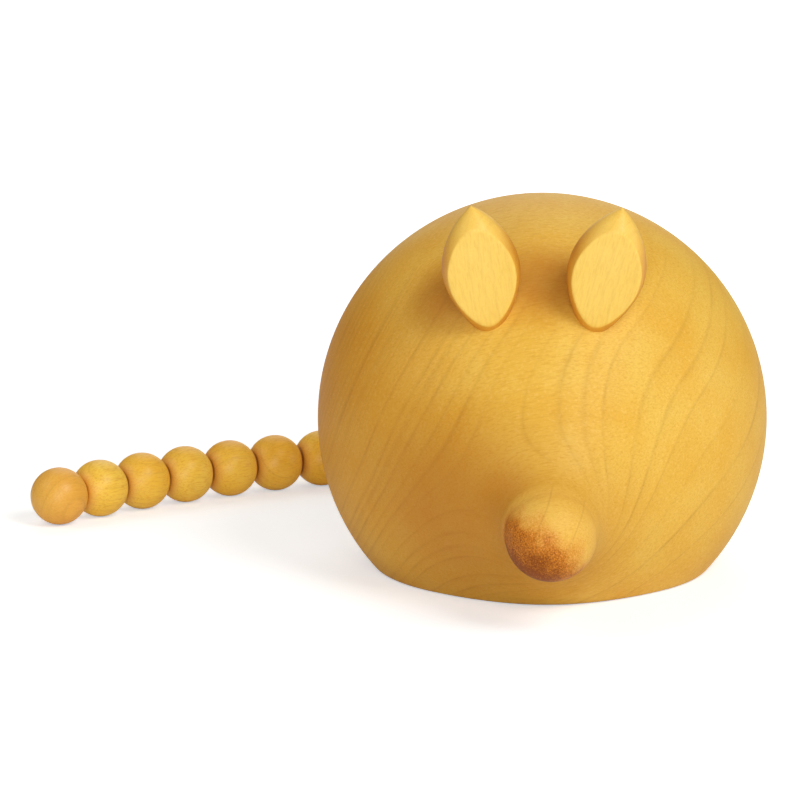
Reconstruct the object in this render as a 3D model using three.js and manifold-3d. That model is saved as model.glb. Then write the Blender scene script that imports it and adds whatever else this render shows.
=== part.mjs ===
// A wooden rat: one turned body with a drawn-out snout, two faceted ears on spigots, and a tail of
// round beads threaded on a cord. Millimetres, +Z up. The origin is the middle of the flat base, on
// the surface that the rat stands on, and the rat looks along -Y.
import * as THREE from "three";
import { mergeVertices } from "three/addons/utils/BufferGeometryUtils.js";
import Module from "manifold-3d";

// Body: a ball that runs through a hollow curve into a round-ended snout, cut flat below.
const BODY_RADIUS = 45;
const BODY_CENTRE_HEIGHT = 30;
const NOSE_RADIUS = 8.7;
const NOSE_REACH = 58;
const SNOUT_DROP_DEG = 11;
const COVE_START_DEG = 48;
const COVE_PULL = 21;
const NECK_PULL = 8;

// Ears: turned spindles with a pointed tip, a flat sanded on the front and a spigot below.
const EAR_LENGTH = 25.2;
const EAR_RADIUS = 7.5;
const EAR_BELLY_HEIGHT = 12;
const EAR_FOOT_PULL_OUT = 1.8;
const EAR_FOOT_PULL_UP = 3;
const EAR_BELLY_PULL_DOWN = 4.8;
const EAR_BELLY_PULL_UP = 4.2;
const EAR_TIP_PULL_OUT = 4.7;
const EAR_TIP_PULL_DOWN = 3.3;
const EAR_SPIGOT_RADIUS = 2.8;
const EAR_SPIGOT_LENGTH = 8;
const EAR_FLAT_OFFSET = 3.8;
const EAR_ELEVATION_DEG = 35.4;
const EAR_SINK = 2.1;
const EAR_LEAN_DEG = 13;
const EARS = {
  ear_left: { azimuthDeg: -18.6, splayDeg: -9 },
  ear_right: { azimuthDeg: 14, splayDeg: 12.7 },
};

// Tail: beads from the body to the tip, lying on the table. The cord leaves the body straight
// back, makes a tight turn behind it and sweeps out to the left side.
const BEAD_RADIUS = 6;
const BEAD_FLAT_RADIUS = 2.9;
const BEAD_BORE_RADIUS = 1.2;
const BEAD_SLACK = 0.35;
const TIP_BORE_DEPTH = 8;
const CORD_RADIUS = 0.9;
const CORD_JOIN = 0.3;
const BODY_BORE_DEPTH = 14;
const ROOT_CLEARANCE = 1.3;
const ROOT_PIVOT_OUT = 1.1;
const ROOT_BEND_DEG = 8;
const TURN_BEND_DEG = 21.2;
const TURN_BEADS = 5;
const SWEEP_BEND_DEG = 3.5;
const SWEEP_BEADS = 6;

// Clearance round what is glued or threaded into a hole.
const FIT = 0.3;

// Points nearer than this are one point of a solid.
const WELD = 1e-4;

// Facets
const BODY_SIDES = 52;
const BODY_STEPS = 8;
const EAR_SIDES = 28;
const EAR_STEPS = 7;
const BEAD_SIDES = 18;
const BEAD_STEPS = 5;
const CORD_SIDES = 8;
const CORD_END_STEPS = 2;

const rad = THREE.MathUtils.degToRad;
const wasm = await Module();
wasm.setup();

const woods = {
  body: new THREE.MeshStandardMaterial({ color: "#d9a441", roughness: 0.45, metalness: 0 }),
  ear: new THREE.MeshStandardMaterial({ color: "#e8bd62", roughness: 0.5, metalness: 0 }),
  bead: new THREE.MeshStandardMaterial({ color: "#cf9334", roughness: 0.42, metalness: 0 }),
};
const cordMaterial = new THREE.MeshStandardMaterial({ color: "#8a5a24", roughness: 0.9, metalness: 0 });

// A closed geometry as a solid that can be cut and joined, and back again.
function solidFrom(geometry) {
  const bare = geometry.clone();
  bare.deleteAttribute("normal");
  bare.deleteAttribute("uv");
  const merged = mergeVertices(bare, WELD);
  return new wasm.Manifold(
    new wasm.Mesh({
      numProp: 3,
      vertProperties: merged.attributes.position.array,
      triVerts: new Uint32Array(merged.index.array),
    }),
  );
}

function geometryFrom(solid) {
  const mesh = solid.getMesh();
  const geometry = new THREE.BufferGeometry();
  geometry.setAttribute("position", new THREE.BufferAttribute(mesh.vertProperties, 3));
  geometry.setIndex(new THREE.BufferAttribute(mesh.triVerts, 1));
  geometry.computeVertexNormals();
  return geometry;
}

function namedMesh(name, geometry, material) {
  const mesh = new THREE.Mesh(geometry, material);
  mesh.name = name;
  return mesh;
}

// Half of the body's outline: the ball from its back, the cove, the neck and the round nose.
function bodyOutline() {
  const coveAngle = rad(90 - COVE_START_DEG);
  const ballEnd = new THREE.Vector2(Math.cos(coveAngle), Math.sin(coveAngle)).multiplyScalar(BODY_RADIUS);
  const along = new THREE.Vector2(-Math.sin(coveAngle), Math.cos(coveAngle)).multiplyScalar(COVE_PULL);
  const outline = new THREE.Path();
  outline.absarc(0, 0, BODY_RADIUS, -Math.PI / 2, coveAngle, false);
  outline.bezierCurveTo(
    ballEnd.x + along.x,
    ballEnd.y + along.y,
    NOSE_RADIUS,
    NOSE_REACH - NECK_PULL,
    NOSE_RADIUS,
    NOSE_REACH,
  );
  outline.absarc(0, NOSE_REACH, NOSE_RADIUS, 0, Math.PI / 2, false);
  return outline.getPoints(BODY_STEPS);
}

// Half of an ear's outline, from the end of its spigot to its tip, grown by a clearance for its socket.
function earOutline(grow) {
  const outline = new THREE.Path();
  const foot = EAR_SPIGOT_RADIUS + grow;
  const belly = EAR_RADIUS + grow;
  const tip = EAR_LENGTH + grow;
  outline.moveTo(0, -EAR_SPIGOT_LENGTH - grow);
  outline.lineTo(foot, -EAR_SPIGOT_LENGTH - grow);
  outline.lineTo(foot, -grow);
  outline.bezierCurveTo(
    foot + EAR_FOOT_PULL_OUT,
    EAR_FOOT_PULL_UP,
    belly,
    EAR_BELLY_HEIGHT - EAR_BELLY_PULL_DOWN,
    belly,
    EAR_BELLY_HEIGHT,
  );
  outline.bezierCurveTo(
    belly,
    EAR_BELLY_HEIGHT + EAR_BELLY_PULL_UP,
    EAR_TIP_PULL_OUT + grow,
    EAR_LENGTH - EAR_TIP_PULL_DOWN,
    0,
    tip,
  );
  return outline.getPoints(EAR_STEPS);
}

// A spindle stands on local +Z with its foot at the origin.
function earSpindle(grow) {
  return new THREE.LatheGeometry(earOutline(grow), EAR_SIDES).rotateX(Math.PI / 2);
}

// Where an ear's foot sits in the ball, and how it leans forward and splays to its side.
function placeEar(object, name) {
  const { azimuthDeg, splayDeg } = EARS[name];
  const depth = BODY_RADIUS - EAR_SINK;
  const level = depth * Math.cos(rad(EAR_ELEVATION_DEG));
  object.position.set(
    level * Math.sin(rad(azimuthDeg)),
    -level * Math.cos(rad(azimuthDeg)),
    BODY_CENTRE_HEIGHT + depth * Math.sin(rad(EAR_ELEVATION_DEG)),
  );
  object.rotation.set(rad(EAR_LEAN_DEG), rad(splayDeg), 0, "YXZ");
  object.updateMatrix();
  return object;
}

function makeEar(name) {
  const reach = 2 * EAR_LENGTH;
  const waste = new THREE.BoxGeometry(reach, reach, 2 * reach).translate(0, -reach / 2 - EAR_FLAT_OFFSET, 0);
  const solid = solidFrom(earSpindle(0)).subtract(solidFrom(waste));
  return placeEar(namedMesh(name, geometryFrom(solid), woods.ear), name);
}

// The height of the tail's cord over the table, and where its bore opens at the back of the ball.
const tailHeight = BEAD_RADIUS;
const tailBelowCentre = BODY_CENTRE_HEIGHT - tailHeight;
const boreMouth = Math.sqrt(BODY_RADIUS ** 2 - tailBelowCentre ** 2);

function makeBody() {
  const turned = new THREE.LatheGeometry(bodyOutline(), BODY_SIDES)
    .rotateX(Math.PI + rad(SNOUT_DROP_DEG))
    .translate(0, 0, BODY_CENTRE_HEIGHT);
  const reach = 4 * (NOSE_REACH + NOSE_RADIUS);
  const underTable = new THREE.BoxGeometry(reach, reach, reach).translate(0, 0, -reach / 2);
  const boreLength = 2 * BODY_BORE_DEPTH;
  const tailBore = new THREE.CylinderGeometry(BEAD_BORE_RADIUS, BEAD_BORE_RADIUS, boreLength, CORD_SIDES)
    .translate(0, boreMouth, tailHeight);
  let solid = solidFrom(turned).subtract(solidFrom(underTable)).subtract(solidFrom(tailBore));
  for (const name of Object.keys(EARS)) {
    const socket = earSpindle(FIT).applyMatrix4(placeEar(new THREE.Object3D(), name).matrix);
    solid = solid.subtract(solidFrom(socket));
  }
  return namedMesh("body", geometryFrom(solid), woods.body);
}

// Half the length of a bead between its two flats, on its bore.
const beadHalf = Math.sqrt(BEAD_RADIUS ** 2 - BEAD_FLAT_RADIUS ** 2);

// A bead is turned on local Y. The last one keeps its round end and is bored from one side only.
function makeBead(name, isTip) {
  const flatAngle = Math.atan2(beadHalf, BEAD_FLAT_RADIUS);
  const boreEnd = isTip ? TIP_BORE_DEPTH - beadHalf : beadHalf;
  const outline = new THREE.Path();
  outline.moveTo(isTip ? 0 : BEAD_BORE_RADIUS, boreEnd);
  if (isTip) {
    outline.lineTo(BEAD_BORE_RADIUS, boreEnd);
  }
  outline.lineTo(BEAD_BORE_RADIUS, -beadHalf);
  outline.absarc(0, 0, BEAD_RADIUS, -flatAngle, isTip ? Math.PI / 2 : flatAngle, false);
  if (!isTip) {
    outline.lineTo(BEAD_BORE_RADIUS, boreEnd);
  }
  return namedMesh(name, new THREE.LatheGeometry(outline.getPoints(BEAD_STEPS), BEAD_SIDES), woods.bead);
}

// A length of cord with rounded ends on local Y, from one point to another.
function makeCord(name, start, end) {
  const straight = end - start - 2 * CORD_RADIUS;
  const geometry = new THREE.CapsuleGeometry(CORD_RADIUS, straight, CORD_END_STEPS, CORD_SIDES);
  return namedMesh(name, geometry.translate(0, (start + end) / 2, 0), cordMaterial);
}

// The gap between two beads: a little slack, opened on the inside of a bend as far as their flats need.
function beadGap(bendDeg) {
  return BEAD_SLACK + 2 * BEAD_FLAT_RADIUS * Math.tan(rad(Math.abs(bendDeg)) / 2);
}

// Each bead hangs in the group of the bead before it and turns about a point in the middle of their
// gap, which is where the cord bends.
function makeTail() {
  const bends = [
    ROOT_BEND_DEG,
    ...Array(TURN_BEADS).fill(TURN_BEND_DEG),
    ...Array(SWEEP_BEADS).fill(SWEEP_BEND_DEG),
  ];
  const rootPivot = boreMouth + ROOT_PIVOT_OUT;
  const firstCentre = Math.sqrt((BODY_RADIUS + BEAD_RADIUS + ROOT_CLEARANCE) ** 2 - tailBelowCentre ** 2);
  const tail = new THREE.Group();
  tail.position.set(0, rootPivot, tailHeight);
  tail.add(makeCord("tail_cord_root", -ROOT_PIVOT_OUT - BODY_BORE_DEPTH + FIT, -CORD_JOIN / 2));
  let parent = tail;
  let reach = 0;
  bends.forEach((bend, index) => {
    const number = String(index + 1).padStart(2, "0");
    const isTip = index === bends.length - 1;
    const before = index === 0 ? firstCentre - rootPivot - beadHalf : beadGap(bend) / 2;
    const after = isTip ? 0 : beadGap(bends[index + 1]) / 2;
    const link = new THREE.Group();
    link.name = `tail_link_${number}`;
    link.position.y = reach;
    link.rotation.z = rad(bend);
    const bead = makeBead(`tail_bead_${number}`, isTip);
    bead.position.y = before + beadHalf;
    reach = before + 2 * beadHalf + after;
    const cordEnd = isTip ? before + TIP_BORE_DEPTH - FIT : reach - CORD_JOIN / 2;
    link.add(bead, makeCord(`tail_cord_${number}`, CORD_JOIN / 2, cordEnd));
    parent.add(link);
    parent = link;
  });
  return tail;
}

const rat = new THREE.Group();
rat.name = "wooden_rat";
rat.add(makeBody());
for (const name of Object.keys(EARS)) {
  rat.add(makeEar(name));
}
rat.add(makeTail());

export default rat;
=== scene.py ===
# A wooden rat: a turned body with a drawn-out snout, two ears set in its head, and a tail of beads on a cord.
import math

import bpy
import numpy as np
from mathutils import Euler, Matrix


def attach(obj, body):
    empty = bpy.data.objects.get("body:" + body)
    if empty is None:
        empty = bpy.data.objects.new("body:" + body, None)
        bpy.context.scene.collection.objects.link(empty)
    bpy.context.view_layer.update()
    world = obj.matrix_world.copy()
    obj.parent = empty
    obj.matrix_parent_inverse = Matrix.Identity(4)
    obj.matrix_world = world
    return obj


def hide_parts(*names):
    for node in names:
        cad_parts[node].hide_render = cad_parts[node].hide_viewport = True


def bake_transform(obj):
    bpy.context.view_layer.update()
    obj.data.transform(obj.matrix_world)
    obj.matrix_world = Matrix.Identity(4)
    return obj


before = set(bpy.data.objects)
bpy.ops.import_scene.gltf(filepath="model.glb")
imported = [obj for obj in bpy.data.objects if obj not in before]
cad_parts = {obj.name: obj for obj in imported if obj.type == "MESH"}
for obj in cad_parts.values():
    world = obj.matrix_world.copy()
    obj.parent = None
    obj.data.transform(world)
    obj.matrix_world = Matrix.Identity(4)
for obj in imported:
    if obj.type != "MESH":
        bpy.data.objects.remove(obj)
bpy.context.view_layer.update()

# The body is one block of birch, turned between centres to a ball that runs through a hollow curve into
# a round-ended snout. It is sawn flat below, sanded, stained honey yellow and given a satin varnish.

MM = 0.001
BODY_RADIUS = 45 * MM
BODY_CENTRE = np.array([0, 0, 30]) * MM
NOSE_RADIUS = 8.7 * MM
NOSE_REACH = 58 * MM
SNOUT_DROP = math.radians(11)
COVE_START = math.radians(48)
COVE_PULL = 21 * MM
NECK_PULL = 8 * MM
BASE_EDGE_SOFTNESS = 0.3 * MM
NOSE_ROWS, COVE_ROWS, BALL_ROWS = 46, 88, 136
BODY_COLUMNS = 330


def arc(centre, radius, start, end, count):
    """Outline points, as distance from the axis and place on it: a circle by its angle from the axis."""
    angle = np.linspace(start, end, count)
    return np.stack([radius * np.sin(angle), centre + radius * np.cos(angle)], -1)


def bend(corners, count):
    """A cubic curve: its four corners weighed by the Bernstein shares of a step from 0 to 1."""
    step = np.linspace(0, 1, count)[:, None]
    shares = (1 - step) ** 3, 3 * (1 - step) ** 2 * step, 3 * (1 - step) * step**2, step**3
    return sum(share * np.array(corner) for share, corner in zip(shares, corners))


def soft_min(a, b, softness):
    """The lesser of two lengths, with the corner between them rounded off over about the softness."""
    return np.minimum(a, b) - softness * np.log1p(np.exp(-np.abs(a - b) / softness))


def turned_with_flat(outline, flat, softness, columns):
    """A turned piece with one flat: rings round +Z at the outline's radius, each cut short on its -Y side
    to the softened lesser of the radius and the flat's distance over the cosine of the angle from -Y.
    Columns crowd to where ring and flat meet, which keeps the edge between them clean."""
    least_angle, flat_share, crowding = math.radians(6), 0.24, 1.6
    least_radius, least_cosine = 1e-9, 1e-6
    radius, height = np.maximum(outline[:, :1], least_radius), outline[:, 1:]
    flat = np.broadcast_to(np.reshape(flat, (-1, 1)), radius.shape)
    meet = np.hypot(np.arccos(np.clip(flat / radius, 0, 1)), least_angle)
    turn = 2 * np.arange(columns) / columns
    half = np.minimum(turn, 2 - turn)
    on_flat = np.clip(half / flat_share, 0, 1)
    on_round = np.clip((half - flat_share) / (1 - flat_share), 0, 1)
    angle = meet * (1 - (1 - on_flat) ** crowding) + (math.pi - meet) * on_round**crowding
    angle = np.where(turn <= 1, angle, -angle)
    to_flat = flat / np.maximum(np.cos(angle), least_cosine)
    reach = soft_min(radius, to_flat, softness)
    return np.stack([reach * np.sin(angle), -reach * np.cos(angle), height + 0 * angle], -1)


def placed(points, origin, axes):
    """Points moved from a piece's own axes, given as three rows, to the place of its origin."""
    return np.asarray(origin) + points @ np.asarray(axes)


def add_surface(name, grid, is_ring=False):
    """A closed mesh from rows of points that each run once round. A ring's last row joins its first.
    Otherwise the first and last rows are poles, each drawn in to one point. Faces point outwards."""
    rows = grid if is_ring else grid[1:-1]
    count, columns = rows.shape[:2]
    points = rows.reshape(-1, 3)
    index = np.arange(count * columns).reshape(count, columns)
    ahead = np.roll(index, -1, axis=1)
    below = np.roll(index, -1, axis=0)
    below_ahead = np.roll(below, -1, axis=1)
    last = count if is_ring else count - 1
    quads = np.stack([index, ahead, below_ahead, below], -1)[:last].reshape(-1, 4)
    caps = np.empty((0, 3), int)
    if not is_ring:
        first_pole, last_pole = len(points), len(points) + 1
        points = np.vstack([points, grid[0].mean(0), grid[-1].mean(0)])
        start = np.stack([np.full(columns, first_pole), ahead[0], index[0]], -1)
        end = np.stack([np.full(columns, last_pole), index[-1], ahead[-1]], -1)
        caps = np.vstack([start, end])
    triangles = np.vstack([quads[:, [0, 1, 2]], quads[:, [0, 2, 3]], caps])
    a, b, c = (points[triangles[:, k]] for k in range(3))
    if np.einsum("ij,ij", a, np.cross(b, c)) < 0:
        quads, caps = quads[:, ::-1], caps[:, ::-1]
    mesh = bpy.data.meshes.new(name)
    mesh.vertices.add(len(points))
    mesh.vertices.foreach_set("co", points.astype(np.float32).ravel())
    corners = np.concatenate([quads.ravel(), caps.ravel()])
    mesh.loops.add(len(corners))
    mesh.loops.foreach_set("vertex_index", corners.astype(np.int32))
    sizes = np.concatenate([np.full(len(quads), 4), np.full(len(caps), 3)])
    mesh.polygons.add(len(sizes))
    mesh.polygons.foreach_set("loop_start", (np.cumsum(sizes) - sizes).astype(np.int32))
    mesh.update(calc_edges=True)
    mesh.shade_smooth()
    made = bpy.data.objects.new(name, mesh)
    bpy.context.scene.collection.objects.link(made)
    return made


ball_end = BODY_RADIUS * np.array([math.sin(COVE_START), math.cos(COVE_START)])
cove_pull = COVE_PULL * np.array([-math.cos(COVE_START), math.sin(COVE_START)])
neck = np.array([NOSE_RADIUS, NOSE_REACH])
body_outline = np.vstack([
    arc(NOSE_REACH, NOSE_RADIUS, 0, math.pi / 2, NOSE_ROWS),
    bend([neck, neck - [0, NECK_PULL], ball_end + cove_pull, ball_end], COVE_ROWS)[1:],
    arc(0, BODY_RADIUS, COVE_START, math.pi, BALL_ROWS)[1:],
])
base_distance = (BODY_CENTRE[2] - body_outline[:, 1] * math.sin(SNOUT_DROP)) / math.cos(SNOUT_DROP)
snout_axes = [
    [1, 0, 0],
    [0, -math.sin(SNOUT_DROP), math.cos(SNOUT_DROP)],
    [0, -math.cos(SNOUT_DROP), -math.sin(SNOUT_DROP)],
]
body_grid = turned_with_flat(body_outline, base_distance, BASE_EDGE_SOFTNESS, BODY_COLUMNS)
body = add_surface("turned_body", placed(body_grid, BODY_CENTRE, snout_axes))


def linear(colour):
    """The linear colour of an sRGB hex value: a 2.4 power, with a straight toe near black."""
    srgb = np.array([int(colour[start : start + 2], 16) for start in (1, 3, 5)]) / 255
    rgb = np.where(srgb <= 0.04045, srgb / 12.92, ((srgb + 0.055) / 1.055) ** 2.4)
    return (*rgb.tolist(), 1.0)


def add_node(tree, kind, inputs=None, ramp=None, **settings):
    """Adds a node with its settings, gives each input a value or a link, and a ramp its stops in order."""
    made = tree.nodes.new(kind)
    for key, value in settings.items():
        setattr(made, key, value)
    for key, value in (inputs or {}).items():
        if isinstance(value, bpy.types.NodeSocket):
            tree.links.new(value, made.inputs[key])
        else:
            made.inputs[key].default_value = value
    for number, (position, colour) in enumerate(ramp or []):
        stops = made.color_ramp.elements
        stop = stops[number] if number < len(stops) else stops.new(position)
        stop.position, stop.color = position, colour
    return made


def new_material(name):
    """An empty node material."""
    made = bpy.data.materials.new(name)
    made.use_nodes = True
    made.node_tree.nodes.clear()
    return made


# The marks in birch: how many millimetres each one measures, and the values of its noise between which it
# comes up. Real fibres and pores are under a tenth of a millimetre wide, too fine to show, so the flecks,
# the grit and the pores are drawn several times as coarse.
WOBBLE_SIZE = 30.0
MOTTLE_SIZE, MOTTLE_SPAN = 12.0, (0.3, 0.7)
PATCH_SIZE, PATCH_SPAN = 8.0, (0.3, 0.65)
FLECK_SIZES, FLECK_SPAN = (0.3, 0.3, 2.2), (0.46, 0.74)
GRIT_SIZE, GRIT_SPAN = 0.55, (0.5, 0.75)
PORE_SIZE, PORE_SPAN = 0.32, (0.3, 0.7)
FLECK_DEPTH, FLECK_RELIEF = 0.05 * MM, 0.2
ROUGH_SPAN = (0.3, 0.8)
VARNISH_IOR = 1.45
# How dark a growth ring is so many millimetres from its last wood: a slow rise and a sharp end.
RING_SPAN = (-1.6, 0.4)
RING_SHADES = [(-1.6, 0.0), (-0.6, 0.1), (-0.2, 0.3), (0.0, 1.0), (0.26, 0.0)]
RING_FAINTEST = 0.3
# How many rings the years are pushed out of step, and how often in one ring that changes.
RING_PUSH, RING_PUSH_RATE = 1.5, 0.7
# How far the end grain has drunk for each of its colours, and how far until it hides the wood's own.
END_PALE, END_MIDDLE, END_DARK = 0.05, 0.4, 0.85
END_HIDES = 0.5


def pith_distance(tree, own, timber):
    """The distance from the pith in millimetres: the length of the place in the pith's own turned and
    stretched axes, plus a slow noise, so that no ring is quite even."""
    from_pith = add_node(tree, "ShaderNodeMapping", {
        0: own, 1: timber["pith"], 2: timber["turn"], 3: timber["stretch"],
    }, vector_type="TEXTURE").outputs[0]
    length = add_node(tree, "ShaderNodeVectorMath", {0: from_pith}, operation="LENGTH").outputs["Value"]
    wobble = add_node(tree, "ShaderNodeTexNoise", {
        "Vector": own, "Scale": 1 / WOBBLE_SIZE, "Detail": 1.0,
    }).outputs[0]
    wobble = add_node(tree, "ShaderNodeMapRange", {
        0: wobble, 3: -timber["wobble"], 4: timber["wobble"],
    }).outputs[0]
    return add_node(tree, "ShaderNodeMath", {0: length, 1: wobble}, operation="ADD").outputs[0]


def growth_rings(tree, own, distance, timber):
    """How strongly ring lines show: the number of rings is a power of the distance from the pith, and noise
    pushes the years out of step. Each year's line stands half way through it. The rest of the year, over the
    rings to the millimetre, is the distance from that line, which a ramp turns to a shade. Every year has
    a strength of its own, and each line comes and goes along its length."""
    share = add_node(tree, "ShaderNodeMath", {0: distance, 1: timber["reach"]}, operation="DIVIDE").outputs[0]
    grown = add_node(tree, "ShaderNodeMath", {0: share, 1: timber["power"]}, operation="POWER").outputs[0]
    count = add_node(tree, "ShaderNodeMath", {0: grown, 1: timber["count"]}, operation="MULTIPLY").outputs[0]
    push = add_node(tree, "ShaderNodeTexNoise", {
        "W": count, "Scale": RING_PUSH_RATE, "Detail": 1.0,
    }, noise_dimensions="1D").outputs[0]
    years = add_node(tree, "ShaderNodeMath", {
        0: push, 1: RING_PUSH, 2: count,
    }, operation="MULTIPLY_ADD").outputs[0]
    year = add_node(tree, "ShaderNodeMath", {0: years}, operation="FLOOR").outputs[0]
    within = add_node(tree, "ShaderNodeMath", {0: years}, operation="FRACT").outputs[0]
    crowding = add_node(tree, "ShaderNodeMath", {0: count, 1: distance}, operation="DIVIDE").outputs[0]
    crowding = add_node(tree, "ShaderNodeMath", {
        0: crowding, 1: timber["power"],
    }, operation="MULTIPLY").outputs[0]
    from_line = add_node(tree, "ShaderNodeMath", {0: within, 1: 0.5}, operation="SUBTRACT").outputs[0]
    from_line = add_node(tree, "ShaderNodeMath", {0: from_line, 1: crowding}, operation="DIVIDE").outputs[0]
    from_line = add_node(tree, "ShaderNodeMapRange", {
        0: from_line, 1: RING_SPAN[0], 2: RING_SPAN[1],
    }).outputs[0]
    line = add_node(tree, "ShaderNodeValToRGB", {0: from_line}, ramp=[
        ((place - RING_SPAN[0]) / (RING_SPAN[1] - RING_SPAN[0]), (grey, grey, grey, 1.0))
        for place, grey in RING_SHADES
    ]).outputs[0]
    strength = add_node(tree, "ShaderNodeTexWhiteNoise", {"W": year}, noise_dimensions="1D").outputs["Value"]
    strength = add_node(tree, "ShaderNodeMapRange", {0: strength, 3: RING_FAINTEST, 4: 1.0}).outputs[0]
    patchy = add_node(tree, "ShaderNodeTexNoise", {
        "Vector": own, "Scale": 1 / PATCH_SIZE, "Detail": 3.0,
    }).outputs[0]
    patchy = add_node(tree, "ShaderNodeMapRange", {
        0: patchy, 1: PATCH_SPAN[0], 2: PATCH_SPAN[1], 3: RING_FAINTEST, 4: 1.0,
    }).outputs[0]
    for weight in (strength, patchy, timber["contrast"]):
        line = add_node(tree, "ShaderNodeMath", {0: line, 1: weight}, operation="MULTIPLY").outputs[0]
    return line


def stain_birch(tree, own, timber, colours, end_grain_and_painted_light, ring_share=1.0, marks=0.0, painted_shade=0.0):
    """Stained birch under satin varnish: a warm yellow ground that is a little mottled and deepens with
    the distance from the pith, thin soft brown lines where growth rings come to the surface, short fine
    flecks along the fibre, and end grain that has drunk more stain. Each is mixed over those before it.
    own is the piece's own place in millimetres. timber says where the pith lies, how the rings are spaced
    and how strongly each mark shows. The end-grain input runs from 0 to 1 with the depth of the stain, and
    also carries the painted shade and painted highlight a piece puts into it. ring_share is how much of the
    rings shows, marks adds lines of the piece's own, and the last input is the share of painted shade."""
    distance = pith_distance(tree, own, timber)
    line = growth_rings(tree, own, distance, timber)
    line = add_node(tree, "ShaderNodeMath", {
        0: line, 1: ring_share, 2: marks,
    }, operation="MULTIPLY_ADD").outputs[0]
    heart = add_node(tree, "ShaderNodeMapRange", {
        0: distance, 1: timber["heart"][0], 2: timber["heart"][1],
    }, interpolation_type="SMOOTHSTEP").outputs[0]
    heart = add_node(tree, "ShaderNodeMath", {0: heart, 1: ring_share}, operation="MULTIPLY").outputs[0]
    mottle = add_node(tree, "ShaderNodeTexNoise", {
        "Vector": own, "Scale": 1 / MOTTLE_SIZE, "Detail": 5.0,
    }).outputs[0]
    mottle = add_node(tree, "ShaderNodeMapRange", {
        0: mottle, 1: MOTTLE_SPAN[0], 2: MOTTLE_SPAN[1],
    }).outputs[0]
    grit = add_node(tree, "ShaderNodeTexNoise", {
        "Vector": own, "Scale": 1 / GRIT_SIZE, "Detail": 2.0,
    }).outputs[0]
    grit = add_node(tree, "ShaderNodeMapRange", {
        0: grit, 1: GRIT_SPAN[0], 2: GRIT_SPAN[1], 4: timber["grit"],
    }).outputs[0]
    fibre = add_node(tree, "ShaderNodeMapping", {
        0: own, 2: timber["fibre"], 3: FLECK_SIZES,
    }, vector_type="TEXTURE").outputs[0]
    fleck = add_node(tree, "ShaderNodeTexNoise", {
        "Vector": fibre, "Scale": 1.0, "Detail": 2.0, "Roughness": 0.6,
    }).outputs[0]
    fleck_dark = add_node(tree, "ShaderNodeMapRange", {
        0: fleck, 1: FLECK_SPAN[0], 2: FLECK_SPAN[1], 4: timber["fleck"],
    }).outputs[0]
    pores = add_node(tree, "ShaderNodeTexNoise", {
        "Vector": own, "Scale": 1 / PORE_SIZE, "Detail": 2.0, "Roughness": 0.7,
    }).outputs[0]
    pores = add_node(tree, "ShaderNodeMapRange", {
        0: pores, 1: PORE_SPAN[0], 2: PORE_SPAN[1], 3: timber["pores"], 4: -timber["pores"],
    }).outputs[0]
    # The end-grain input brings stain and any painted shade or highlight that the piece puts in.
    soaked = add_node(tree, "ShaderNodeMath", {0: end_grain_and_painted_light, 1: pores}, operation="ADD").outputs[0]
    drunk_and_shaded = add_node(tree, "ShaderNodeValToRGB", {0: soaked}, ramp=[
        (END_PALE, linear(colours["end_pale"])),
        (END_MIDDLE, linear(colours["end"])),
        (END_DARK, linear(colours["end_dark"])),
    ]).outputs[0]
    is_end = add_node(tree, "ShaderNodeMapRange", {0: end_grain_and_painted_light, 1: 0.0, 2: END_HIDES}).outputs[0]
    ground = linear(colours["light"])
    for share, colour in (
        (mottle, linear(colours["deep"])),
        (heart, linear(colours["heart"])),
        (grit, linear(colours["grit"])),
        (fleck_dark, linear(colours["fleck"])),
        (is_end, drunk_and_shaded),
        # Painted shade over the wood, before the ring lines.
        (painted_shade, linear(colours["painted_shade"])),
        (line, linear(colours["line"])),
    ):
        ground = add_node(tree, "ShaderNodeMix", {
            0: share, 6: ground, 7: colour,
        }, data_type="RGBA").outputs[2]
    rough = add_node(tree, "ShaderNodeMapRange", {
        0: fleck, 1: ROUGH_SPAN[0], 2: ROUGH_SPAN[1], 3: timber["rough"][0], 4: timber["rough"][1],
    }).outputs[0]
    relief = add_node(tree, "ShaderNodeBump", {
        "Strength": FLECK_RELIEF, "Distance": FLECK_DEPTH, "Height": fleck,
    }, invert=True).outputs[0]
    varnish = add_node(tree, "ShaderNodeBsdfPrincipled", {
        "Base Color": ground, "Roughness": rough, "IOR": VARNISH_IOR,
        "Specular IOR Level": timber["polish"], "Normal": relief,
    }).outputs[0]
    add_node(tree, "ShaderNodeOutputMaterial", {0: varnish})


# Stained birch, turned and varnished: rings cut at a slant draw long lines that sweep past the snout, and
# the underside of the nose shows dark end grain with painted shade on its lower left. Painted shade also
# darkens the wood beside the ears, on the left of the snout and on the left flank.
# Lengths are in millimetres. There are count rings out to the reach from the pith, and they crowd with the
# power of the distance. The wood deepens between the two heart distances. fibre is the way its fibres turn.
BODY_TIMBER = {
    "pith": (24.1, 16.1, 2.6),
    "turn": tuple(math.radians(angle) for angle in (-56.2, -4.7, 154.5)),
    "stretch": (0.781, 1.0, 1.174),
    "reach": 70.0,
    "count": 12.9,
    "power": 4.6,
    "wobble": 0.5,
    "heart": (66.0, 100.0),
    "contrast": 0.36,
    "fibre": (0.0, math.radians(80), 0.0),
    "fleck": 0.58,
    "grit": 0.45,
    "rough": (0.42, 0.55),
    "pores": 0.28,
    "polish": 0.22,
}
# The last colour is for painted shade beside the ears, by the snout and on the left flank.
BODY_COLOURS = {
    "light": "#ebc65a", "deep": "#e6b644", "heart": "#e09a28", "grit": "#f3d070", "fleck": "#d49c34",
    "line": "#a4611a", "end_pale": "#ecb468", "end": "#d6892c", "end_dark": "#8c4812", "painted_shade": "#b2640f",
}
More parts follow.
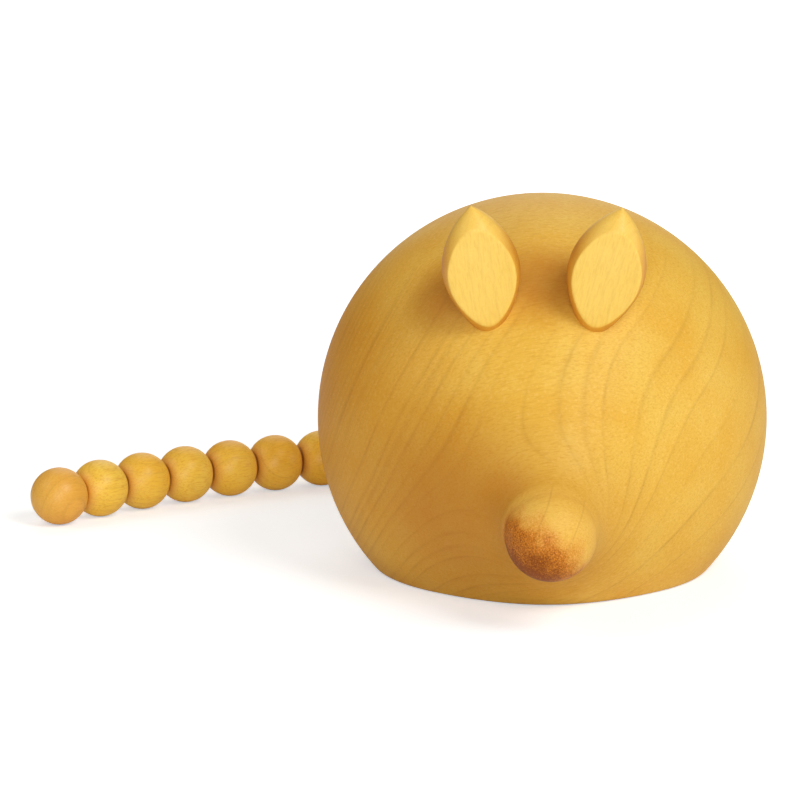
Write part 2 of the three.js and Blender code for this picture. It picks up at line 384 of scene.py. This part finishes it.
# From the nose's middle, in millimetres: where its end grain gives way, and where the rings come up.
NOSE_GIVES_WAY = (8.8, 10.0)
RINGS_COME_UP = (10.0, 20.0)
# Heights over which the rings fade towards the crown, and the share of them that is left there.
RINGS_FADE, CROWN_SHARE = (50.0, 68.0), 0.1
# The end grain is darkened only where it looks down to the left, away from the light: stain in the end
# grain with painted shade on it. It deepens over the span, and noise makes its edge ragged.
END_GRAIN_SHADE_FACING = (-0.56, -0.3, -0.77)
END_GRAIN_SPAN, END_GRAIN_LEAST = (3.0, 14.5), 0.1
RAGGED_SIZE, RAGGED_DEPTH = 4.0, 9.0
# The ring lines on the nose stand a few millimetres apart and are straight.
NOSE_LINE_FACING = (0.905, 0.0, -0.424)
NOSE_LINE_SPACING, NOSE_LINE_SHIFT = 6.7, 3.7
NOSE_LINE_HALF_WIDTH, NOSE_LINE_SHARE = 0.25, 0.22
# Patches of painted shade: full within the first reach from the middle and gone at the second, in
# millimetres.
stained = {
    "neck": {
        "middle": (-14.0, -50.0, 19.0), "stretch": (1.1, 1.0, 0.75), "reach": (12.0, 38.0), "share": 0.36,
    },
    "flank": {
        "middle": (-40.0, -40.0, 20.0), "stretch": (1.0, 2.0, 1.0), "reach": (22.0, 44.0), "share": 0.24,
    },
    "nose_side": {
        "middle": (-7.0, -50.5, 25.0), "stretch": (1.0, 1.0, 1.0), "reach": (2.0, 8.5), "share": 0.16,
    },
}
EAR_SINK = 2.1 * MM
EAR_ELEVATION = math.radians(35.4)
EAR_AZIMUTHS = {"ear_left": math.radians(-18.6), "ear_right": math.radians(14.0)}
# Painted shade beside each ear: its patch lies this many millimetres left, back and up from the ear's foot.
BESIDE_EAR = np.array([-8.5, 4.5, 7.5])
BESIDE_EAR_REACH, BESIDE_EAR_SHARE = (3.0, 13.0), 0.58

ear_run, ear_rise = math.cos(EAR_ELEVATION), math.sin(EAR_ELEVATION)
ear_feet = {}
for name, azimuth in EAR_AZIMUTHS.items():
    outward = np.array([ear_run * math.sin(azimuth), -ear_run * math.cos(azimuth), ear_rise])
    ear_feet[name] = BODY_CENTRE + (BODY_RADIUS - EAR_SINK) * outward
    stained[name] = {
        "middle": tuple(ear_feet[name] / MM + BESIDE_EAR), "stretch": (1.0, 1.0, 1.0),
        "reach": BESIDE_EAR_REACH, "share": BESIDE_EAR_SHARE,
    }
nose_centre = BODY_CENTRE + NOSE_REACH * np.array(snout_axes[2])

body_wood = new_material("stained_birch_body")
tree = body_wood.node_tree
place = add_node(tree, "ShaderNodeTexCoord").outputs["Object"]
own = add_node(tree, "ShaderNodeMapping", {0: place, 3: (MM, MM, MM)}, vector_type="TEXTURE").outputs[0]
from_nose = add_node(tree, "ShaderNodeVectorMath", {
    0: own, 1: tuple(nose_centre / MM),
}, operation="SUBTRACT").outputs[0]
nose_near = add_node(tree, "ShaderNodeVectorMath", {0: from_nose}, operation="LENGTH").outputs["Value"]
on_nose = add_node(tree, "ShaderNodeMapRange", {
    0: nose_near, 1: NOSE_GIVES_WAY[0], 2: NOSE_GIVES_WAY[1], 3: 1.0, 4: 0.0,
}).outputs[0]
off_nose = add_node(tree, "ShaderNodeMath", {0: 1.0, 1: on_nose}, operation="SUBTRACT").outputs[0]
ring_share = add_node(tree, "ShaderNodeMapRange", {
    0: nose_near, 1: RINGS_COME_UP[0], 2: RINGS_COME_UP[1],
}).outputs[0]
height = add_node(tree, "ShaderNodeSeparateXYZ", {0: own}).outputs["Z"]
crown_share = add_node(tree, "ShaderNodeMapRange", {
    0: height, 1: RINGS_FADE[0], 2: RINGS_FADE[1], 3: 1.0, 4: CROWN_SHARE,
}).outputs[0]
ring_share = add_node(tree, "ShaderNodeMath", {
    0: ring_share, 1: crown_share,
}, operation="MULTIPLY").outputs[0]
# Painted shade with end grain: darker the more the nose looks down to the left.
facing = add_node(tree, "ShaderNodeVectorMath", {
    0: from_nose, 1: END_GRAIN_SHADE_FACING,
}, operation="DOT_PRODUCT").outputs["Value"]
ragged = add_node(tree, "ShaderNodeTexNoise", {
    "Vector": own, "Scale": 1 / RAGGED_SIZE, "Detail": 5.0,
}).outputs[0]
facing = add_node(tree, "ShaderNodeMath", {
    0: ragged, 1: RAGGED_DEPTH, 2: facing,
}, operation="MULTIPLY_ADD").outputs[0]
facing = add_node(tree, "ShaderNodeMapRange", {
    0: facing, 1: END_GRAIN_SPAN[0], 2: END_GRAIN_SPAN[1], 3: END_GRAIN_LEAST, 4: 1.0,
}).outputs[0]
end_grain_and_painted_light = add_node(tree, "ShaderNodeMath", {0: facing, 1: on_nose}, operation="MULTIPLY").outputs[0]
across = add_node(tree, "ShaderNodeVectorMath", {
    0: from_nose, 1: NOSE_LINE_FACING,
}, operation="DOT_PRODUCT").outputs["Value"]
across = add_node(tree, "ShaderNodeMath", {0: across, 1: NOSE_LINE_SHIFT}, operation="ADD").outputs[0]
across = add_node(tree, "ShaderNodeMath", {
    0: across, 1: NOSE_LINE_SPACING / 2,
}, operation="PINGPONG").outputs[0]
nose_line = add_node(tree, "ShaderNodeMapRange", {
    0: across, 1: 0.0, 2: NOSE_LINE_HALF_WIDTH, 3: NOSE_LINE_SHARE, 4: 0.0,
}).outputs[0]
nose_line = add_node(tree, "ShaderNodeMath", {0: nose_line, 1: on_nose}, operation="MULTIPLY").outputs[0]
# Painted shade: the patches added up, kept off the nose.
painted_shade = 0.0
for patch in stained.values():
    inside = add_node(tree, "ShaderNodeMapping", {
        0: own, 1: patch["middle"], 3: patch["stretch"],
    }, vector_type="TEXTURE").outputs[0]
    inside = add_node(tree, "ShaderNodeVectorMath", {0: inside}, operation="LENGTH").outputs["Value"]
    inside = add_node(tree, "ShaderNodeMapRange", {
        0: inside, 1: patch["reach"][0], 2: patch["reach"][1], 3: patch["share"], 4: 0.0,
    }, interpolation_type="SMOOTHSTEP").outputs[0]
    painted_shade = add_node(tree, "ShaderNodeMath", {0: inside, 1: painted_shade}, operation="ADD").outputs[0]
painted_shade = add_node(tree, "ShaderNodeMath", {0: painted_shade, 1: off_nose}, operation="MULTIPLY").outputs[0]
stain_birch(tree, own, BODY_TIMBER, BODY_COLOURS, end_grain_and_painted_light, ring_share, nose_line, painted_shade)
body.data.materials.append(body_wood)
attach(body, "body")
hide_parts("body")

# The ears are two birch spindles with a pointed tip. A flat is sanded on the front of each one, its edge
# is eased, and a spigot below is glued into a hole drilled in the head.

EAR_LENGTH = 25.2 * MM
EAR_RADIUS = 7.5 * MM
EAR_BELLY_HEIGHT = 12 * MM
EAR_FOOT_PULL = np.array([1.8, 3]) * MM
EAR_BELLY_PULL_DOWN = 4.8 * MM
EAR_BELLY_PULL_UP = 4.2 * MM
EAR_TIP_PULL = np.array([4.7, -3.3]) * MM
EAR_SPIGOT_RADIUS = 2.8 * MM
EAR_SPIGOT_LENGTH = 8 * MM
EAR_FLAT_OFFSET = 3.8 * MM
EAR_EDGE_SOFTNESS = 0.16 * MM
EAR_LEAN = math.radians(13)
EAR_SPLAYS = {"ear_left": math.radians(-9.0), "ear_right": math.radians(12.7)}
SPIGOT_ROWS, LOWER_EAR_ROWS, UPPER_EAR_ROWS = 8, 80, 100
EAR_COLUMNS = 220

foot = np.array([EAR_SPIGOT_RADIUS, 0])
belly = np.array([EAR_RADIUS, EAR_BELLY_HEIGHT])
tip = np.array([0, EAR_LENGTH])
spigot_end = np.array([EAR_SPIGOT_RADIUS, -EAR_SPIGOT_LENGTH])
ear_outline = np.vstack([
    spigot_end * [0, 1],
    np.linspace(spigot_end, foot, SPIGOT_ROWS),
    bend([foot, foot + EAR_FOOT_PULL, belly - [0, EAR_BELLY_PULL_DOWN], belly], LOWER_EAR_ROWS)[1:],
    bend([belly, belly + [0, EAR_BELLY_PULL_UP], tip + EAR_TIP_PULL, tip], UPPER_EAR_ROWS)[1:],
])
ear_grid = turned_with_flat(ear_outline, EAR_FLAT_OFFSET, EAR_EDGE_SOFTNESS, EAR_COLUMNS)

# Stained birch again, cut along the fibre: the flat shows fine upright lines and is paler than the body,
# because the sanded face took less stain. Its rim and the turned wall behind it took more. Towards the
# tip that stain fades, a painted highlight, and painted shade darkens the wood round the foot.
EAR_TIMBER = {
    "pith": (-46.0, 30.0, 0.0),
    "turn": (math.radians(4), math.radians(-3), 0.0),
    "stretch": (1.0, 1.0, 30.0),
    "reach": 50.0,
    "count": 26.0,
    "power": 1.0,
    "wobble": 0.4,
    "heart": (56.0, 80.0),
    "contrast": 0.16,
    "fibre": (0.0, 0.0, 0.0),
    "fleck": 0.5,
    "grit": 0.4,
    "rough": (0.36, 0.46),
    "pores": 0.1,
    "polish": 0.36,
}
EAR_COLOURS = {
    "light": "#fad970", "deep": "#f7d262", "heart": "#f2c756", "grit": "#fce082", "fleck": "#ebbc52",
    "line": "#b57a2c", "end_pale": "#f0bc4a", "end": "#de9c2c", "end_dark": "#c4781c", "painted_shade": "#c67816",
}
# Millimetres behind the flat between which the rim's stain comes up, and how deep rim and wall are.
EAR_RIM_START, EAR_RIM_END = 0.08, 0.3
EAR_RIM_STAIN, EAR_WALL_STAIN = 0.36, 0.26
# Heights in millimetres over which the stain fades to a painted highlight at the tip, and over which the
# painted shade fades from the foot.
EAR_TIP_FADE, EAR_TIP_SHARE = (15.0, 22.0), 0.2
EAR_FOOT_FADE, EAR_FOOT_SHARE = (2.0, 9.0), 0.6

flat_depth = -EAR_FLAT_OFFSET / MM
for name, ear_foot in ear_feet.items():
    ear_turn = (EAR_LEAN, EAR_SPLAYS[name], 0.0)
    ear_axes = np.array(Euler(ear_turn).to_matrix()).T
    ear = add_surface("carved_" + name, placed(ear_grid, ear_foot, ear_axes))
    ear_wood = new_material("stained_birch_" + name)
    tree = ear_wood.node_tree
    place = add_node(tree, "ShaderNodeTexCoord").outputs["Object"]
    own = add_node(tree, "ShaderNodeMapping", {
        0: place, 1: tuple(ear_foot), 2: ear_turn, 3: (MM, MM, MM),
    }, vector_type="TEXTURE").outputs[0]
    along = add_node(tree, "ShaderNodeSeparateXYZ", {0: own}).outputs
    rim = add_node(tree, "ShaderNodeMapRange", {
        0: along["Y"], 1: flat_depth + EAR_RIM_START, 2: flat_depth + EAR_RIM_END, 4: EAR_RIM_STAIN,
    }).outputs[0]
    wall = add_node(tree, "ShaderNodeMapRange", {
        0: along["Y"], 1: flat_depth + EAR_RIM_END, 2: 0.0, 4: EAR_WALL_STAIN,
    }).outputs[0]
    stain = add_node(tree, "ShaderNodeMath", {0: rim, 1: wall}, operation="ADD").outputs[0]
    # Painted highlight: less stain towards the tip, where the sheen falls.
    below_tip = add_node(tree, "ShaderNodeMapRange", {
        0: along["Z"], 1: EAR_TIP_FADE[0], 2: EAR_TIP_FADE[1], 3: 1.0, 4: EAR_TIP_SHARE,
    }).outputs[0]
    stain = add_node(tree, "ShaderNodeMath", {0: stain, 1: below_tip}, operation="MULTIPLY").outputs[0]
    # Painted shade round the foot, where the ear meets the head.
    at_foot = add_node(tree, "ShaderNodeMapRange", {
        0: along["Z"], 1: EAR_FOOT_FADE[0], 2: EAR_FOOT_FADE[1], 3: EAR_FOOT_SHARE, 4: 0.0,
    }).outputs[0]
    at_foot = add_node(tree, "ShaderNodeMath", {0: at_foot, 1: stain}, operation="MULTIPLY").outputs[0]
    stain_birch(tree, own, EAR_TIMBER, EAR_COLOURS, stain, painted_shade=at_foot)
    ear.data.materials.append(ear_wood)
    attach(ear, "body")
    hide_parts(name)

# The tail's cord is three twisted cotton strands. It is glued into a hole at the back of the body, runs
# through every bead and ends in the blind hole of the last one. Each stretch bends with one joint.

BEAD_RADIUS = 6 * MM
BEAD_FLAT_RADIUS = 2.9 * MM
BEAD_SLACK = 0.35 * MM
TIP_BORE_DEPTH = 8 * MM
BODY_BORE_DEPTH = 14 * MM
ROOT_CLEARANCE = 1.3 * MM
ROOT_PIVOT_OUT = 1.1 * MM
ROOT_BEND, TURN_BEND, SWEEP_BEND = math.radians(8), math.radians(21.2), math.radians(3.5)
TURN_BEADS, SWEEP_BEADS = 5, 6
CORD_RADIUS = 0.9 * MM
CORD_LAY = 5 * MM
CORD_GROOVE = 0.16
CORD_BEND_REACH = 1.6 * MM
CORD_COLUMNS = 36
BENT_ROWS, STRAIGHT_ROWS = 17, 14

tail_bends = [ROOT_BEND] + [TURN_BEND] * TURN_BEADS + [SWEEP_BEND] * SWEEP_BEADS
bead_half = math.sqrt(BEAD_RADIUS**2 - BEAD_FLAT_RADIUS**2)
below_centre = BODY_CENTRE[2] - BEAD_RADIUS
bore_mouth = math.sqrt(BODY_RADIUS**2 - below_centre**2)
first_centre = math.sqrt((BODY_RADIUS + BEAD_RADIUS + ROOT_CLEARANCE) ** 2 - below_centre**2)
gaps = [BEAD_SLACK + 2 * BEAD_FLAT_RADIUS * math.tan(angle / 2) for angle in tail_bends] + [0.0]
pivots, headings, bead_centres = [], [], []
pivot = np.array([0, bore_mouth + ROOT_PIVOT_OUT, BEAD_RADIUS])
for number, angle in enumerate(np.cumsum(tail_bends)):
    heading = np.array([-math.sin(angle), math.cos(angle), 0])
    before = first_centre - pivot[1] - bead_half if number == 0 else gaps[number] / 2
    pivots.append(pivot)
    headings.append(heading)
    bead_centres.append(pivot + heading * (before + bead_half))
    pivot = bead_centres[-1] + heading * (bead_half + gaps[number + 1] / 2)


def twisted_cord(path):
    """A cord of three strands along a level path: round sections set square to the path, whose radius
    dips between strands by the cosine of one and a half times the angle, turned once in each lay."""
    steps = np.linalg.norm(np.diff(path, axis=0), axis=1)
    along = np.concatenate([[0], np.cumsum(steps)])
    heading = np.gradient(path, along, axis=0)
    heading /= np.linalg.norm(heading, axis=1, keepdims=True)
    side = np.cross(heading, [0, 0, 1])
    angle = np.linspace(0, 2 * math.pi, CORD_COLUMNS, endpoint=False)
    twist = 2 * math.pi * along[:, None] / CORD_LAY
    swell = np.abs(np.cos(1.5 * (angle - twist)))
    reach = CORD_RADIUS * (1 - CORD_GROOVE + CORD_GROOVE * swell)
    across = side[:, None] * (reach * np.cos(angle))[..., None]
    return path[:, None] + across + np.array([0, 0, 1]) * (reach * np.sin(angle))[..., None]


def bent_path(first, start, corner, end, last):
    """A straight run from first to start, a parabola that leaves start and meets end on lines through the
    corner, and a straight run on to last."""
    step = np.linspace(0, 1, BENT_ROWS)[:, None]
    bent = (1 - step) ** 2 * start + 2 * (1 - step) * step * corner + step**2 * end
    run_in = np.linspace(first, start, STRAIGHT_ROWS)[:-1]
    run_out = np.linspace(end, last, STRAIGHT_ROWS)[1:]
    return np.vstack([run_in, bent, run_out])


# Stained cotton: matt brown, mottled by its nap. The nap's fibres are drawn coarser than they are, because
# real ones are too fine to show.
COTTON_DARK, COTTON_PALE = "#6b3d17", "#a06a2c"
NAP_SIZE, NAP_SPAN = 0.4 * MM, (0.3, 0.7)
NAP_DEPTH, NAP_RELIEF = 0.1 * MM, 0.4
COTTON_ROUGHNESS = 0.85

cotton = new_material("stained_cotton_cord")
tree = cotton.node_tree
place = add_node(tree, "ShaderNodeTexCoord").outputs["Object"]
nap = add_node(tree, "ShaderNodeTexNoise", {"Vector": place, "Scale": 1 / NAP_SIZE, "Detail": 3.0}).outputs[0]
thread = add_node(tree, "ShaderNodeValToRGB", {0: nap}, ramp=[
    (NAP_SPAN[0], linear(COTTON_DARK)), (NAP_SPAN[1], linear(COTTON_PALE)),
]).outputs[0]
relief = add_node(tree, "ShaderNodeBump", {
    "Strength": NAP_RELIEF, "Distance": NAP_DEPTH, "Height": nap,
}).outputs[0]
yarn = add_node(tree, "ShaderNodeBsdfPrincipled", {
    "Base Color": thread, "Roughness": COTTON_ROUGHNESS, "Normal": relief,
}).outputs[0]
add_node(tree, "ShaderNodeOutputMaterial", {0: yarn})

inside_body = np.array([0, bore_mouth - BODY_BORE_DEPTH, BEAD_RADIUS])
tip_end = bead_centres[-1] + headings[-1] * (TIP_BORE_DEPTH - bead_half)
cord_marks = [inside_body] + bead_centres[:-1] + [tip_end]
for number, pivot in enumerate(pivots):
    back = np.array([0, 1, 0]) if number == 0 else headings[number - 1]
    start, end = pivot - back * CORD_BEND_REACH, pivot + headings[number] * CORD_BEND_REACH
    path = bent_path(cord_marks[number], start, pivot, end, cord_marks[number + 1])
    cord = add_surface(f"cord_stretch_{number + 1:02d}", twisted_cord(path))
    cord.data.materials.append(cotton)
    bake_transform(cord)
    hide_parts(f"tail_cord_{number + 1:02d}")
    if number == 0:
        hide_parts("tail_cord_root")

# The tail is twelve turned birch balls, drilled and faced flat where they meet, threaded on the cord.
# The last one keeps its round end. Each was cut from its own place in the plank and stained by dipping.

BEAD_BORE_RADIUS = 1.2 * MM
BEAD_EDGE_RADIUS = 0.45 * MM
EDGE_ROWS, FLAT_ROWS, SIDE_ROWS, BORE_ROWS, TIP_ROWS = 8, 10, 70, 12, 84
BEAD_COLUMNS = 96

edge_centre = BEAD_RADIUS - BEAD_EDGE_RADIUS
edge_angle = math.acos((bead_half - BEAD_EDGE_RADIUS) / edge_centre)
edge_place = edge_centre * np.array([math.sin(edge_angle), math.cos(edge_angle)])
eased_edge = edge_place + arc(0, BEAD_EDGE_RADIUS, 0, edge_angle, EDGE_ROWS)
faced_end = np.linspace([BEAD_BORE_RADIUS, bead_half], eased_edge[0], FLAT_ROWS)[:-1]
front_end = np.vstack([faced_end, eased_edge])
back_end = front_end[::-1] * [1, -1]
round_side = arc(0, BEAD_RADIUS, edge_angle, math.pi - edge_angle, SIDE_ROWS)[1:-1]
bore = np.linspace([BEAD_BORE_RADIUS, -bead_half], [BEAD_BORE_RADIUS, bead_half], BORE_ROWS)[1:-1]
bead_outline = np.vstack([front_end, round_side, back_end, bore])
tip_round = arc(0, BEAD_RADIUS, 0, math.pi - edge_angle, TIP_ROWS)[:-1]
blind_end = TIP_BORE_DEPTH - bead_half
tip_bore = np.linspace([BEAD_BORE_RADIUS, -bead_half], [BEAD_BORE_RADIUS, blind_end], BORE_ROWS)[1:]
tip_outline = np.vstack([tip_round, back_end, tip_bore, [[0, blind_end]]])


def turned(outline, columns):
    """A turned piece: each outline point carried round +Z on a circle of its own radius."""
    angle = np.linspace(0, 2 * math.pi, columns, endpoint=False)
    radius, height = outline[:, :1], outline[:, 1:]
    return np.stack([radius * np.cos(angle), radius * np.sin(angle), height + 0 * angle], -1)


# Stained birch in small stock: each ball has its own tone and its own run of rings. Its drilled ends are
# end grain darkened by stain and by painted shade where the balls meet, most at the end towards the body.
# The tip took a little all over.
BEAD_TIMBER = {
    "pith": (0.0, 0.0, 0.0),
    "turn": (0.0, 0.0, 0.0),
    "stretch": (1.0, 1.0, 8.0),
    "reach": 20.0,
    "count": 12.0,
    "power": 1.0,
    "wobble": 0.6,
    "heart": (12.0, 40.0),
    "contrast": 0.22,
    "fibre": (0.0, 0.0, 0.0),
    "fleck": 0.6,
    "grit": 0.2,
    "rough": (0.36, 0.44),
    "pores": 0.08,
    "polish": 0.5,
}
BEAD_COLOURS = {
    "light": "#fedd60", "deep": "#fbcc44", "heart": "#f2ae22", "grit": "#fee270", "fleck": "#e4a026",
    "line": "#a8661f", "end_pale": "#f5bc72", "end": "#dc9434", "end_dark": "#a65c1c", "painted_shade": "#c8801f",
}
# How far each ball's middle lay from the pith, from the body to the tip: farther is deeper in colour.
BEAD_PITH_DISTANCES = [24, 20, 26, 22, 25, 16, 21, 23, 21, 18, 13, 19]
PLANK_HALF_LENGTH = 40
# Millimetres from the ball's middle at which an end's stain and painted shade start, over how many they
# deepen, and how fast.
END_STAIN_START, END_STAIN_WIDTH, END_STAIN_POWER = 3.6, 1.7, 1.5
END_STAIN_AND_SHADE_TO_BODY, END_STAIN_AND_SHADE_TO_TIP = 0.95, 0.45
TIP_STAIN = 0.25

bead_wood = new_material("stained_birch_beads")
tree = bead_wood.node_tree
own = add_node(tree, "ShaderNodeAttribute", attribute_name="grain").outputs["Vector"]
end_grain_and_painted_light = add_node(tree, "ShaderNodeAttribute", attribute_name="end_grain_and_painted_light").outputs["Fac"]
stain_birch(tree, own, BEAD_TIMBER, BEAD_COLOURS, end_grain_and_painted_light)

draw = np.random.default_rng(12)
for number, (centre, heading) in enumerate(zip(bead_centres, headings)):
    is_tip = number == len(bead_centres) - 1
    local = turned(tip_outline if is_tip else bead_outline, BEAD_COLUMNS)
    bead_axes = [np.cross([0, 0, 1], heading), [0, 0, 1], heading]
    bead = add_surface(f"turned_bead_{number + 1:02d}", placed(local, centre, bead_axes), is_ring=not is_tip)
    points = np.empty(len(bead.data.vertices) * 3, np.float32)
    bead.data.vertices.foreach_get("co", points)
    local = (points.reshape(-1, 3) - centre) @ np.array(bead_axes).T / MM
    spin, away = draw.uniform(0, 2 * math.pi), BEAD_PITH_DISTANCES[number]
    along_plank = draw.uniform(-PLANK_HALF_LENGTH, PLANK_HALF_LENGTH)
    shift = np.array([away * math.cos(spin), away * math.sin(spin), along_plank])
    grain = bead.data.attributes.new("grain", "FLOAT_VECTOR", "POINT")
    grain.data.foreach_set("vector", (local + shift).astype(np.float32).ravel())
    # Painted shade and stain at the drilled ends, most at the end towards the body.
    deepening = np.clip((np.abs(local[:, 2]) - END_STAIN_START) / END_STAIN_WIDTH, 0, 1) ** END_STAIN_POWER
    ends = deepening * np.where(local[:, 2] > 0, END_STAIN_AND_SHADE_TO_TIP, END_STAIN_AND_SHADE_TO_BODY)
    ends = np.full(len(local), TIP_STAIN) if is_tip else ends
    drunk_and_shaded = bead.data.attributes.new("end_grain_and_painted_light", "FLOAT", "POINT")
    drunk_and_shaded.data.foreach_set("value", ends.astype(np.float32))
    bead.data.materials.append(bead_wood)
    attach(bead, f"bead_{number + 1:02d}")
    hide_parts(f"tail_bead_{number + 1:02d}")

# The stage is a white sheet of paper under the rat. It glows white from afar and less near the rat, so
# that the rat's shadow shows on it. The satin varnish sees only a share of its white.

FLOOR_HALF = 3.0
PAPER_WHITE, PAPER_GLOW = "#f8f8f8", "#e0f1ff"
PAPER_ROUGHNESS = 0.9
GLOW_NEAR, GLOW_FAR = 0.52, 1.0
GLOW_SPREAD = (0.15, 0.6)
SHEEN_SHARE = 0.1


def seen_share(tree):
    """The share of the stage's white that a ray meets: all of it straight from the camera or through a
    clear piece, and the sheen's share of it in the varnish."""
    rays = add_node(tree, "ShaderNodeLightPath").outputs
    straight = add_node(tree, "ShaderNodeMath", {
        0: rays["Is Camera Ray"], 1: rays["Is Transmission Ray"],
    }, operation="MAXIMUM").outputs[0]
    return add_node(tree, "ShaderNodeMath", {
        0: rays["Is Glossy Ray"], 1: SHEEN_SHARE, 2: straight,
    }, operation="MULTIPLY_ADD").outputs[0]


floor_mesh = bpy.data.meshes.new("paper_floor")
corners = FLOOR_HALF * np.array([[-1, -1, 0], [1, -1, 0], [1, 1, 0], [-1, 1, 0]])
floor_mesh.from_pydata(corners.tolist(), [], [(0, 1, 2, 3)])
floor = bpy.data.objects.new("paper_floor", floor_mesh)
bpy.context.scene.collection.objects.link(floor)

# White paper: matt, with a cool glow that evens out the warm room, so that it meets the white behind it.
paper = new_material("white_paper")
tree = paper.node_tree
seen = seen_share(tree)
place = add_node(tree, "ShaderNodeTexCoord").outputs["Object"]
away = add_node(tree, "ShaderNodeVectorMath", {0: place}, operation="LENGTH").outputs["Value"]
glow = add_node(tree, "ShaderNodeMapRange", {
    0: away, 1: GLOW_SPREAD[0], 2: GLOW_SPREAD[1], 3: GLOW_NEAR, 4: GLOW_FAR,
}, interpolation_type="SMOOTHSTEP").outputs[0]
glow = add_node(tree, "ShaderNodeMath", {0: seen, 1: glow}, operation="MULTIPLY").outputs[0]
sheet = add_node(tree, "ShaderNodeBsdfPrincipled", {
    "Base Color": linear(PAPER_WHITE), "Roughness": PAPER_ROUGHNESS,
    "Emission Color": linear(PAPER_GLOW), "Emission Strength": glow,
}).outputs[0]
add_node(tree, "ShaderNodeOutputMaterial", {0: sheet})
floor_mesh.materials.append(paper)

# Soft studio light: a lamp up to the right of the camera, weaker ones in front, low in front, on both
# sides, and high and low behind, and a warm pale room. Places and sizes are in metres.

LAMPS = {
    "key": {"place": (0.57, -0.68, 0.83), "size": 0.6, "watts": 6.2},
    "front": {"place": (0.05, -1.12, 0.44), "size": 0.5, "watts": 2.4},
    "low": {"place": (-0.2, -1.17, 0.1), "size": 0.5, "watts": 2.7},
    "left": {"place": (-0.85, -0.2, 0.85), "size": 0.8, "watts": 1.5},
    "right": {"place": (1.17, 0.0, 0.28), "size": 0.6, "watts": 1.5},
    "back": {"place": (0.0, 0.77, 0.95), "size": 1.0, "watts": 2.4},
    "rear": {"place": (0.0, 1.15, 0.35), "size": 0.8, "watts": 1.2},
}
ROOM_LEVEL, ROOM_TINT = 0.25, "#ffd8a0"
BACKDROP_LEVEL, BACKDROP_WHITE = 1.0, "#ffffff"
for name, lamp in LAMPS.items():
    light = bpy.data.lights.new(name, "AREA")
    light.shape, light.size, light.energy = "DISK", lamp["size"], lamp["watts"]
    lamp_object = bpy.data.objects.new(name, light)
    lamp_object.location = lamp["place"]
    aim = BODY_CENTRE - np.array(lamp["place"])
    tilt, turn = math.atan2(math.hypot(aim[0], aim[1]), -aim[2]), math.atan2(-aim[0], aim[1])
    lamp_object.rotation_euler = (tilt, 0, turn)
    bpy.context.scene.collection.objects.link(lamp_object)
world = bpy.data.worlds.new("pale_room")
world.use_nodes = True
tree = world.node_tree
tree.nodes.clear()
seen = seen_share(tree)
brightness = add_node(tree, "ShaderNodeMapRange", {0: seen, 3: ROOM_LEVEL, 4: BACKDROP_LEVEL}).outputs[0]
tint = add_node(tree, "ShaderNodeMix", {
    0: seen, 6: linear(ROOM_TINT), 7: linear(BACKDROP_WHITE),
}, data_type="RGBA").outputs[2]
sky = add_node(tree, "ShaderNodeBackground", {0: tint, 1: brightness}).outputs[0]
add_node(tree, "ShaderNodeOutputWorld", {0: sky})
bpy.context.scene.world = world
bpy.context.scene.view_settings.view_transform = "Standard"

# The camera stands nine tenths of a metre off, a little above the rat, with a long lens. The ball's
# middle falls on the same pixel as in the photograph.

IMAGE_SIZE = 800
BALL_PIXEL = (541.9, 416.8)
CAMERA_DISTANCE = 0.9
CAMERA_ELEVATION = math.radians(11.61)
CAMERA_LENS = 201.6
SENSOR_WIDTH = 36.0
focal_pixels = CAMERA_LENS / SENSOR_WIDTH * IMAGE_SIZE
forward = np.array([0, math.cos(CAMERA_ELEVATION), -math.sin(CAMERA_ELEVATION)])
upward = np.array([0, math.sin(CAMERA_ELEVATION), math.cos(CAMERA_ELEVATION)])
right_pixels, down_pixels = np.array(BALL_PIXEL) - IMAGE_SIZE / 2
sight = forward * focal_pixels + np.array([right_pixels, 0, 0]) - upward * down_pixels
camera_data = bpy.data.cameras.new("camera")
camera_data.lens, camera_data.sensor_width = CAMERA_LENS, SENSOR_WIDTH
camera = bpy.data.objects.new("camera", camera_data)
camera.location = BODY_CENTRE - CAMERA_DISTANCE * sight / np.linalg.norm(sight)
camera.rotation_euler = (math.pi / 2 - CAMERA_ELEVATION, 0, 0)
bpy.context.scene.collection.objects.link(camera)
bpy.context.scene.camera = camera
